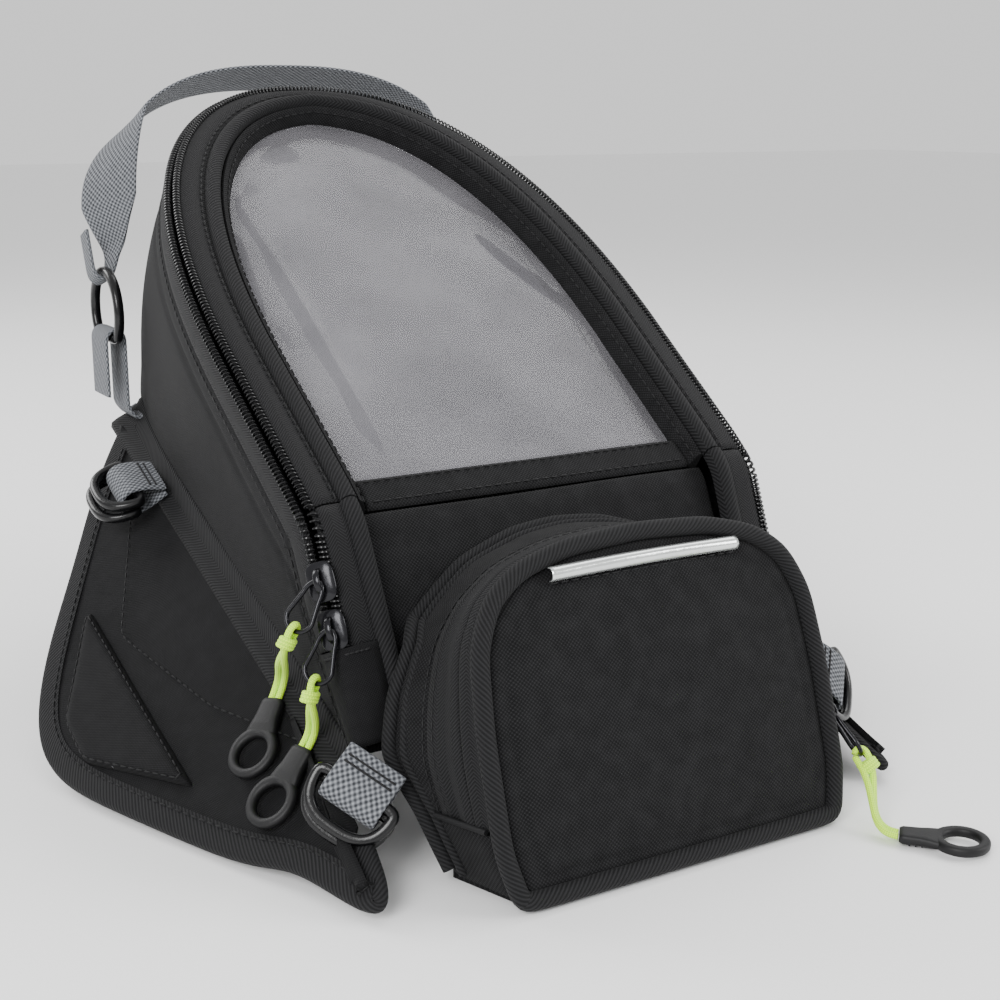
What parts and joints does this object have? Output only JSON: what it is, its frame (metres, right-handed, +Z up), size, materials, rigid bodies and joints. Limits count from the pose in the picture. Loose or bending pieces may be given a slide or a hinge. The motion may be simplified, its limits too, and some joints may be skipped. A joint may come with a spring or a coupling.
{
  "type": "motorcycle tank bag",
  "caption": "Wedge-shaped motorcycle tank bag with a clear lid window, zipped front pocket, magnetic side flaps, webbing straps with rings and a carry handle.",
  "frame": {"origin": "centre of the footprint of the bag as it stands on its flaps and front pocket, without the pull cords", "axes": "+X to the bag's right as seen from its front, +Y from the front pocket towards the carry handle, +Z up"},
  "size_m": [0.2952, 0.3601, 0.2346],
  "materials": {
    "oxford_fabric": "coarse black Oxford weave, matt",
    "wall_fabric": "fine black twill, matt",
    "zip_tape": "black herringbone tape",
    "webbing": "grey basket-weave webbing",
    "gloss_plastic": "satin black moulded plastic",
    "soft_plastic": "matt black moulded plastic",
    "coated_metal": "gloss black coated metal",
    "neon_cord": "bright yellow-green braided cord",
    "reflective_strip": "silver reflective film over a soft cord",
    "clear_film": "clear soft film",
    "stiff_board": "smooth black board",
    "grip_rubber": "ribbed matt black rubber",
    "magnet": "plated block",
    "pocket_backing": "dark grey woven backing"
  },
  "bodies": {
    "shell": {"base_board": "stiff_board", "base_grip_mat": "grip_rubber", "base_panel": "oxford_fabric", "body_zip_tape": "zip_tape", "front_edge_left": "zip_tape", "front_edge_right": "zip_tape", "front_panel": "oxford_fabric", "handle_anchor_left": "webbing", "handle_anchor_right": "webbing", "handle_ring_left": "gloss_plastic", "handle_ring_right": "gloss_plastic", "pocket_bottom": "oxford_fabric", "pocket_front_lower": "oxford_fabric", "pocket_front_piping_lower": "oxford_fabric", "pocket_gusset": "oxford_fabric", "pocket_zip_tape_rear": "zip_tape", "side_gusset": "wall_fabric", "strap_front_left": "webbing", "strap_front_right": "webbing", "strap_rear_left": "webbing", "strap_rear_right": "webbing"},
    "lid": {"lid_zip_tape": "zip_tape", "lid_piping": "oxford_fabric", "lid_hem": "oxford_fabric", "window_film": "clear_film", "phone_pocket_back": "pocket_backing", "window_webbing_strip": "oxford_fabric"},
    "pocket_front": {"pocket_zip_tape_front": "zip_tape", "pocket_front_piping": "oxford_fabric", "pocket_front_panel": "oxford_fabric", "reflective_strip": "reflective_strip"},
    "flap_left": {"flap_left": "wall_fabric", "flap_binding_left": "zip_tape", "magnet_cover_left": "wall_fabric", "magnet_left": "magnet"},
    "flap_right": {"flap_right": "wall_fabric", "flap_binding_right": "zip_tape", "magnet_cover_right": "wall_fabric", "magnet_right": "magnet"},
    "handle": {"carry_handle": "webbing"},
    "slider_upper": {"zip_slider_upper": "coated_metal"},
    "pull_upper": {"pull_ring_upper": "coated_metal"},
    "loop_upper": {"pull_cord_upper": "neon_cord", "finger_loop_upper": "soft_plastic"},
    "slider_lower": {"zip_slider_lower": "coated_metal"},
    "pull_lower": {"pull_ring_lower": "coated_metal"},
    "loop_lower": {"pull_cord_lower": "neon_cord", "finger_loop_lower": "soft_plastic"},
    "slider_pocket": {"zip_slider_pocket": "coated_metal"},
    "pull_pocket": {"pull_ring_pocket": "coated_metal"},
    "loop_pocket": {"pull_cord_pocket": "neon_cord", "finger_loop_pocket": "soft_plastic"},
    "rings_rear_left": {"ring_rear_left_lower": "gloss_plastic", "ring_rear_left_upper": "gloss_plastic"},
    "rings_rear_right": {"ring_rear_right_lower": "gloss_plastic", "ring_rear_right_upper": "gloss_plastic"},
    "rings_front_left": {"ring_front_left_lower": "gloss_plastic", "ring_front_left_upper": "gloss_plastic"},
    "rings_front_right": {"ring_front_right_lower": "gloss_plastic", "ring_front_right_upper": "gloss_plastic"}
  },
  "joints": [
    {"name": "lid_hinge", "type": "hinge", "parent": "shell", "child": "lid", "pos_m": [0, -0.07806, 0.10424], "axis": [1, 0, 0], "range_deg": [0, 120]},
    {"name": "pocket_hinge", "type": "hinge", "parent": "shell", "child": "pocket_front", "pos_m": [0, -0.15267, 0.02], "axis": [1, 0, 0], "range_deg": [0, 95]},
    {"name": "handle_fold", "type": "hinge", "parent": "shell", "child": "handle", "pos_m": [0, 0.09895, 0.142], "axis": [1, 0, 0], "range_deg": [-60, 5]},
    {"name": "flap_left_hinge", "type": "hinge", "parent": "shell", "child": "flap_left", "pos_m": [-0.0815, 0.10295, 0.098], "axis": [-0.0097, -0.9452, -0.3264], "range_deg": [0, 50]},
    {"name": "flap_right_hinge", "type": "hinge", "parent": "shell", "child": "flap_right", "pos_m": [0.0815, 0.10295, 0.098], "axis": [-0.0097, 0.9452, 0.3264], "range_deg": [0, 50]},
    {"name": "rings_rear_left_tilt", "type": "hinge", "parent": "shell", "child": "rings_rear_left", "pos_m": [-0.09707, 0.05255, 0.08265], "axis": [0.01, 0.945, 0.327], "range_deg": [0, 60]},
    {"name": "rings_front_left_tilt", "type": "hinge", "parent": "shell", "child": "rings_front_left", "pos_m": [-0.08851, -0.118, 0.02753], "axis": [-0.6017, 0.6217, 0.5014], "range_deg": [0, 60]},
    {"name": "rings_rear_right_tilt", "type": "hinge", "parent": "shell", "child": "rings_rear_right", "pos_m": [0.09707, 0.05255, 0.08265], "axis": [0.01, -0.945, -0.327], "range_deg": [0, 60]},
    {"name": "rings_front_right_tilt", "type": "hinge", "parent": "shell", "child": "rings_front_right", "pos_m": [0.08851, -0.118, 0.02753], "axis": [-0.6017, -0.6217, -0.5014], "range_deg": [0, 60]},
    {"name": "slider_upper_travel", "type": "slide", "parent": "shell", "child": "slider_upper", "axis": [-0.0383, 0.4139, 0.9095], "range_m": [0, 0.006]},
    {"name": "pull_upper_swing", "type": "hinge", "parent": "slider_upper", "child": "pull_upper", "pos_m": [-0.08528, -0.08912, 0.08273], "axis": [-0.4672, 0.8261, 0.315], "range_deg": [0, 60]},
    {"name": "loop_upper_swing", "type": "hinge", "parent": "pull_upper", "child": "loop_upper", "pos_m": [-0.09363, -0.08864, 0.06909], "axis": [-0.4672, 0.8261, 0.315], "range_deg": [0, 30]},
    {"name": "slider_lower_travel", "type": "slide", "parent": "shell", "child": "slider_lower", "axis": [-0.0383, 0.4139, 0.9095], "range_m": [0, 0.001]},
    {"name": "pull_lower_swing", "type": "hinge", "parent": "slider_lower", "child": "pull_lower", "pos_m": [-0.08472, -0.09514, 0.06951], "axis": [-0.5714, 0.8077, 0.1454], "range_deg": [0, 15]},
    {"name": "loop_lower_swing", "type": "hinge", "parent": "pull_lower", "child": "loop_lower", "pos_m": [-0.09115, -0.09706, 0.05498], "axis": [-0.5714, 0.8077, 0.1454], "range_deg": [0, 30]},
    {"name": "slider_pocket_travel", "type": "slide", "parent": "shell", "child": "slider_pocket", "axis": [0, 0.304, 0.9527], "range_m": [0, 0.01]},
    {"name": "pull_pocket_swing", "type": "hinge", "parent": "slider_pocket", "child": "pull_pocket", "pos_m": [0.06728, -0.14309, 0.02966], "axis": [-0.4637, -0.7272, 0.5062], "range_deg": [0, 60]},
    {"name": "loop_pocket_swing", "type": "hinge", "parent": "pull_pocket", "child": "loop_pocket", "pos_m": [0.07111, -0.15354, 0.01816], "axis": [-0.4637, -0.7272, 0.5062], "range_deg": [0, 30]}
  ]
}
